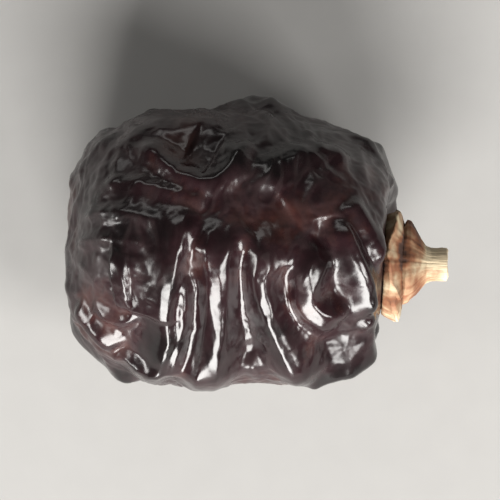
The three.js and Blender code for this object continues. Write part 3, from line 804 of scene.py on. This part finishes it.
def skinMaterial():
    material, tree, shader = newMaterial("glossy maroon skin")
    at = placeOnPiece(tree)
    fold = surfaceMark(tree, "fold")
    wrinkle = surfaceMark(tree, "wrinkle")
    broad = noise(tree, at, *skinFinish["broadNoise"]).outputs[0]
    mottle = noise(tree, at, *skinFinish["mottleNoise"]).outputs[0]
    tone = plus(tree, times(tree, broad, skinFinish["broadShare"]),
                times(tree, mottle, skinFinish["mottleShare"]))
    tone = minus(tree, tone, times(tree, fold, skinFinish["darkFolds"]))
    shades = [skinFinish[name] for name in ("darkest", "maroon", "brown")]
    colour = ramp(tree, tone, zip(skinFinish["tones"], shades))

    # greyish bloom in the dips, and a painted greyish sheen along the crests of the fine wrinkles
    patches = between(tree, noise(tree, at, *skinFinish["bloomNoise"]).outputs[0], 0.5, 0.72)
    powder = times(tree, patches, between(tree, wrinkle, 0.1, 0.7, 1.0, 0.2), skinFinish["powder"])
    # painted highlight: the crests of the fine wrinkles are coloured greyer, away from the big folds
    paintedCrestSheen = times(tree, between(tree, wrinkle, 0.4, 0.85, 0.0, skinFinish["paintedCrestSheen"]),
                 between(tree, fold, 0.2, 0.8, 1.0, 0.2))
    # the bloom's grey serves both the real bloom in the dips and the painted sheen on the crests
    inputs = {"Factor": plus(tree, powder, paintedCrestSheen), "A": colour, "B": (*skinFinish["bloom"], 1)}
    mixed = addNode(tree, "ShaderNodeMix", {"data_type": "RGBA"}, inputs).outputs["Result"]

    dullness = plus(tree, times(tree, mottle, 0.5), powder)
    rough = plus(tree, between(tree, dullness, 0.2, 0.6, *skinFinish["gloss"]),
                 between(tree, fold, 0.1, 0.75, skinFinish["dullDips"], 0.0))
    pores = noise(tree, at, *skinFinish["poreNoise"]).outputs[0]
    grain = noise(tree, at, *skinFinish["grainNoise"]).outputs[0]
    relief = plus(tree, times(tree, pores, skinFinish["poreShare"]), grain)
    dressShader(tree, shader, mixed, rough, relief, skinFinish["bump"])
    shader.inputs["IOR"].default_value = skinFinish["refraction"]
    shader.inputs["Specular IOR Level"].default_value = skinFinish["mirrorLevel"]
    return material


skin = skinMaterial()
fruit = makeFruit()
applyTree(fruit, skinTree(), {**fineSkin, "Skin": skin})
print("fruit made:", len(fruit.data.polygons), "faces")
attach(fruit, "root")
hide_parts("fruit")


# The dried calyx: three papery petals that lap over each other, the torn cup in them, and the stalk stub.
# A wave rule is its seed, wavelength and height.
calyxForm = {
    "petals": 3,
    "petalSpan": 1.28,                # how far each petal reaches to either side of its middle, radians
    "petalSteps": (150, 56),          # points across a petal, and out from its root
    "petalRoot": 1.7,                 # its radius; lengths are in millimetres
    "petalThickness": 0.3, "thinning": 0.3,  # at its root, and the share lost by its rim
    "petalFoot": (3.6, 4.4),          # seated on the fruit inside the first radius, free past the second
    "footPress": 0.01,
    "lap": 0.15,                      # how much higher a petal's upper side lies than its lower one
    "lift": (0.9, 0.5), "liftFrom": 0.45,  # how far the rims on the -Y and +Y sides stand off the fruit
    "petalTop": ([1.7, 2.75, 3.1, 3.76, 4.32, 4.75], [1.45, 1.3, 1.1, 0.7, 0.42, 0.3]),
    "rim": 0.955, "farthestRim": 0.99,  # shares of the calyx's radius
    "cornerDrop": 0.15, "cornerPower": 2.6,
    "rimWaves": [(31, 5, 0.055), (41, 1.5, 0.045), (51, 0.5, 0.022)],
    "curls": [(4, 2.3, 0.11), (9, 1.0, 0.06)],  # waves round the axis, shift by petal, height
    "curlFrom": 0.6,                  # a share of the calyx's radius, as liftFrom is
    "cupOutline": [                   # radius and height, from the stub's end round to the cup's base
        (0.35, 4.76), (0.75, 4.66), (1.12, 4.9), (1.26, 4.78), (1.27, 4.4), (1.22, 4.0), (1.25, 3.55),
        (1.42, 3.2), (1.78, 2.88), (2.2, 2.58), (2.65, 2.25), (3.0, 1.92), (3.12, 1.6), (2.95, 1.35),
        (2.3, 1.1), (1.2, 0.8),
    ],
    "cupSteps": (96, 240),            # rings along that outline, and points round each
    "cupCentres": (4.78, 0.75),       # heights of the middles of the stub's end and of the base
    "cupSunk": 0.05,
    "teeth": 3, "toothSize": 0.07, "toothWaves": (61, 1.2, 0.04),
    "teethRadii": (1.9, 2.8), "teethHeights": (1.3, 1.7),
    "unevenStub": (63, 2.2, 0.05), "stubHeights": (2.9, 3.5),
    "brokenEnd": (62, 1.1, 0.14), "brokenHeights": (4.5, 4.8),
    "pressIn": 0.2,                   # how far the foot may go into the fruit
}
calyxFibres = {"Fibre Spacing": 0.34, "Fibre Height": 0.042, "Ripple Height": 0.17, "Seed": 5.3}


def waved(rule, points):
    seed, wavelength, height = rule
    return height * makeWaves(seed, wavelength)(points)


def calyxLift(turn, share):
    near, far = calyxForm["lift"]
    lift = near * smooth(0.1, 1, -np.cos(turn)) + far * smooth(0.1, 1, np.cos(turn))
    return lift * smooth(calyxForm["liftFrom"], 1, share)


def closedSheet(top, bottom):         # two matching grids of points, joined all round their edge
    rows, columns = top.shape[:2]
    count = rows * columns
    index = np.arange(count).reshape(rows, columns)
    faces = gridSquares(index)[:, ::-1].tolist() + gridSquares(index + count).tolist()
    ring = np.concatenate([index[0, :-1], index[:-1, -1], index[-1, :0:-1], index[:0:-1, 0]]).tolist()
    for first, second in zip(ring, ring[1:] + ring[:1]):
        faces.append([second, first, first + count, second + count])
    return np.concatenate([top.reshape(-1, 3), bottom.reshape(-1, 3)]), faces


def onSeat(radius, turn, height):     # points at that height over the fruit's seat, round the calyx's axis
    y = radius * np.cos(turn) - calyxPlace["drop"]
    z = radius * np.sin(turn)
    return np.stack([seatHeight(y, z) + calyxPlace["gap"] + height, y, z], axis=-1)


def petalRim(number, across, turn):   # the radius of the torn rim at each place across the petal
    edge = np.column_stack([3 * np.cos(turn), 3 * np.sin(turn), np.full(len(turn), 2.0 * number)])
    reach = calyxForm["rim"] - calyxForm["cornerDrop"] * np.abs(across) ** calyxForm["cornerPower"]
    for seed, wavelength, height in calyxForm["rimWaves"]:
        reach = reach + waved((seed + number, wavelength, height), edge)
    return calyxPlace["diameter"] / 2 * np.minimum(reach, calyxForm["farthestRim"])


def makePetal(number):
    rows, columns = calyxForm["petalSteps"]
    across = np.linspace(-1, 1, rows)[:, None]
    outward = np.linspace(0, 1, columns)[None, :]
    middle = (2 * number + 1) * math.pi / calyxForm["petals"]
    turn = middle + calyxForm["petalSpan"] * across + 0 * outward
    root = calyxForm["petalRoot"]
    rim = petalRim(number, across[:, 0], turn[:, 0])
    radius = root + (rim[:, None] - root) * outward
    share = radius / (calyxPlace["diameter"] / 2)
    curl = 0
    for waves, shift, height in calyxForm["curls"]:
        curl = curl + height * np.sin(waves * turn + shift * number)
    top = np.interp(radius, *calyxForm["petalTop"]) + calyxForm["lap"] * (across + 1) / 2
    top = top + curl * smooth(calyxForm["curlFrom"], 1, share) + calyxLift(turn, share)

    # thick and seated on the fruit at its foot, thin at its rim
    thickness = calyxForm["petalThickness"] * (1 - calyxForm["thinning"] * outward)
    foot = 1 - smooth(*calyxForm["petalFoot"], radius)
    seated = -(calyxPlace["gap"] + calyxForm["footPress"])
    bottom = np.maximum(top - thickness, 0) * (1 - foot) + seated * foot
    return closedSheet(onSeat(radius, turn, top), onSeat(radius, turn, bottom))


def makeCup():                        # one closed skin: the stub's broken end, its side, the cup, its base
    rings, turns = calyxForm["cupSteps"]
    turn = np.linspace(0, 2 * math.pi, turns, endpoint=False)
    outline = np.array(calyxForm["cupOutline"])
    steps = np.linspace(0, len(outline) - 1, rings)
    radii = np.interp(steps, range(len(outline)), outline[:, 0])
    heights = np.interp(steps, range(len(outline)), outline[:, 1])
    points = []
    for radius, height in zip(radii, heights):
        around = np.column_stack([radius * np.cos(turn), radius * np.sin(turn), np.full(turns, height)])
        teeth = smooth(*calyxForm["teethRadii"], radius) * smooth(*calyxForm["teethHeights"], height)
        spread = 1 + teeth * calyxForm["toothSize"] * np.cos(calyxForm["teeth"] * turn)
        spread = spread + teeth * waved(calyxForm["toothWaves"], around)
        onStub = smooth(*calyxForm["stubHeights"], height)
        spread = spread + onStub * waved(calyxForm["unevenStub"], around)
        broken = smooth(*calyxForm["brokenHeights"], height) * waved(calyxForm["brokenEnd"], around)
        points.append(onSeat(radius * spread, turn, height + broken - calyxForm["cupSunk"]))
    for height in calyxForm["cupCentres"]:
        points.append([onSeat(0.0, 0.0, height)])
    end, base = rings * turns, rings * turns + 1
    last = (rings - 1) * turns
    faces = []
    for i in range(turns):
        after = (i + 1) % turns
        faces.append([end, i, after])
        faces.append([last + i, base, last + after])
        for ring in range(0, last, turns):
            faces.append([ring + i, ring + turns + i, ring + turns + after, ring + after])
    return np.concatenate(points), faces


def makeCalyx():
    allPoints, allFaces, kinds = [], [], []
    count = 0
    parts = [makePetal(number) for number in range(calyxForm["petals"])] + [makeCup()]
    for k, (points, faces) in enumerate(parts):
        allPoints.append(points)
        allFaces += [[corner + count for corner in face] for face in faces]
        kinds.append(np.full(len(points), k / (len(parts) - 1)))
        count += len(points)
    points = np.concatenate(allPoints)
    marks = {
        "part": np.concatenate(kinds),
        "radius": np.hypot(points[:, 1] + calyxPlace["drop"], points[:, 2]),
        "outward": points[:, 0] - seatHeight(points[:, 1], points[:, 2]),
    }
    points[:, 2] += middleHeight
    low, high = calyxBox
    points = drawnIn(points, (np.array(low) - (calyxForm["pressIn"] / 1000, 0, 0), high))
    return makeMesh("driedCalyx", points, allFaces, marks)


fibreRules = {
    "fineness": 1.6,                  # how finely they divide the calyx's round, over their spacing
    "outwardBend": 0.22,              # how fast the pattern changes along a fibre
    "width": 0.20, "sunk": 0.55,
    "rippleScale": 0.8, "rippleSeed": 9.4,
}


def fibreTree():                      # fibres that run outwards over the petals, and along the stub
    tree, given = startTree("calyx fibres", calyxFibres, "Husk")
    place = addNode(tree, "GeometryNodeInputPosition").outputs[0]
    axis = (0, -calyxPlace["drop"], middleHeight)
    offset = vectorMaths(tree, "SUBTRACT", vectorMaths(tree, "SCALE", place, 1000.0), axis)
    split = addNode(tree, "ShaderNodeSeparateXYZ", inputs={0: offset}).outputs
    flat = addNode(tree, "ShaderNodeCombineXYZ", inputs={1: split[1], 2: split[2]}).outputs[0]
    around = vectorMaths(tree, "NORMALIZE", flat)
    reach = addNode(tree, "ShaderNodeVectorMath", {"operation": "LENGTH"}, {0: flat}).outputs["Value"]

    density = maths(tree, "DIVIDE", fibreRules["fineness"], given["Fibre Spacing"])
    bend = fibreRules["outwardBend"]
    run = plus(tree, times(tree, reach, bend), times(tree, split[0], bend))
    slow = addNode(tree, "ShaderNodeCombineXYZ", inputs={0: run}).outputs[0]
    spokes = vectorMaths(tree, "ADD", vectorMaths(tree, "SCALE", around, density), slow)
    fine = noise(tree, spokes, 1.0, 2.0, given["Seed"]).outputs[0]
    off = maths(tree, "ABSOLUTE", minus(tree, fine, 0.5))
    fibre = between(tree, off, 0.0, fibreRules["width"], 1.0, 0.0)
    ripple = noise(tree, offset, fibreRules["rippleScale"], 2.0, fibreRules["rippleSeed"]).outputs[0]
    height = plus(tree, times(tree, minus(tree, fibre, fibreRules["sunk"]), given["Fibre Height"]),
                  times(tree, minus(tree, ripple, fibreRules["sunk"]), given["Ripple Height"]))
    raised = markAndRaise(tree, given["Geometry"], "fibre", fibre, height)
    return endTree(tree, raised, given["Husk"])


huskFinish = {
    "dark": linearColour(58, 36, 26),
    "orange": linearColour(112, 68, 41),
    "tan": linearColour(138, 109, 82),
    "cream": linearColour(174, 159, 132),
    "tones": (0.36, 0.52, 0.66, 0.82),  # where each of them stands
    "middleTone": 0.40,
    "broadNoise": (420, 2.0, 3.3), "broadShare": 1.5,
    "fleckNoise": (2600, 3.0, 1.7, 0.65), "fleckShare": 0.25,
    "fibreShare": 0.11,
    # the first value is how much paler the stub is; the second is painted shade, how much darker the
    # petals are coloured next to the cup
    "paleStub": 0.28, "paintedShadeNearCup": 0.28,
    "roughness": (0.7, 0.9),
    "bump": (0.4, 0.00008),           # strength, and depth in metres
}


def huskMaterial():                   # papery: cream crests, orange-brown between, and painted shade darkening the petals next to the cup
    material, tree, shader = newMaterial("dry husk")
    at = placeOnPiece(tree)
    broad = noise(tree, at, *huskFinish["broadNoise"]).outputs[0]
    fleck = noise(tree, at, *huskFinish["fleckNoise"]).outputs[0]
    stub = between(tree, surfaceMark(tree, "outward"), 2.6, 3.6)
    # painted shade: the petals are coloured darker near the cup, where its shade falls on them
    paintedShade = between(tree, surfaceMark(tree, "radius"), 2.6, 3.7, huskFinish["paintedShadeNearCup"], 0.0)
    onPetal = between(tree, surfaceMark(tree, "part"), 0.7, 0.9, 1.0, 0.0)
    tone = plus(tree, times(tree, minus(tree, broad, 0.5), huskFinish["broadShare"]),
                huskFinish["middleTone"], times(tree, fleck, huskFinish["fleckShare"]),
                times(tree, surfaceMark(tree, "fibre"), huskFinish["fibreShare"]))
    tone = minus(tree, tone, times(tree, paintedShade, onPetal))
    tone = plus(tree, tone, times(tree, stub, huskFinish["paleStub"]))
    shades = [huskFinish[name] for name in ("dark", "orange", "tan", "cream")]
    colour = ramp(tree, tone, zip(huskFinish["tones"], shades))
    rough = between(tree, fleck, 0.3, 0.7, *huskFinish["roughness"])
    dressShader(tree, shader, colour, rough, fleck, huskFinish["bump"])
    return material


husk = huskMaterial()
calyx = makeCalyx()
applyTree(calyx, fibreTree(), {**calyxFibres, "Husk": husk})
print("calyx made:", len(calyx.data.polygons), "faces")
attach(calyx, "root")
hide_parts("calyx")


def makeFloor():
    half = studio["floorSize"] / 2
    corners = [(-half, -half, 0), (half, -half, 0), (half, half, 0), (-half, half, 0)]
    mesh = bpy.data.meshes.new("floor")
    mesh.from_pydata(corners, [], [(0, 1, 2, 3)])
    floor = bpy.data.objects.new("floor", mesh)
    bpy.context.scene.collection.objects.link(floor)
    material, tree, shader = newMaterial("pale board")
    grain = noise(tree, placeOnPiece(tree), *studio["floorNoise"]).outputs[0]
    pale = studio["floorColour"]
    darker = tuple(share * studio["floorGrain"] for share in pale)
    tree.links.new(ramp(tree, grain, [(0.3, darker), (0.7, pale)]), shader.inputs["Base Color"])
    shader.inputs["Roughness"].default_value = studio["floorRoughness"]
    mesh.materials.append(material)


makeFloor()
print("floor laid")
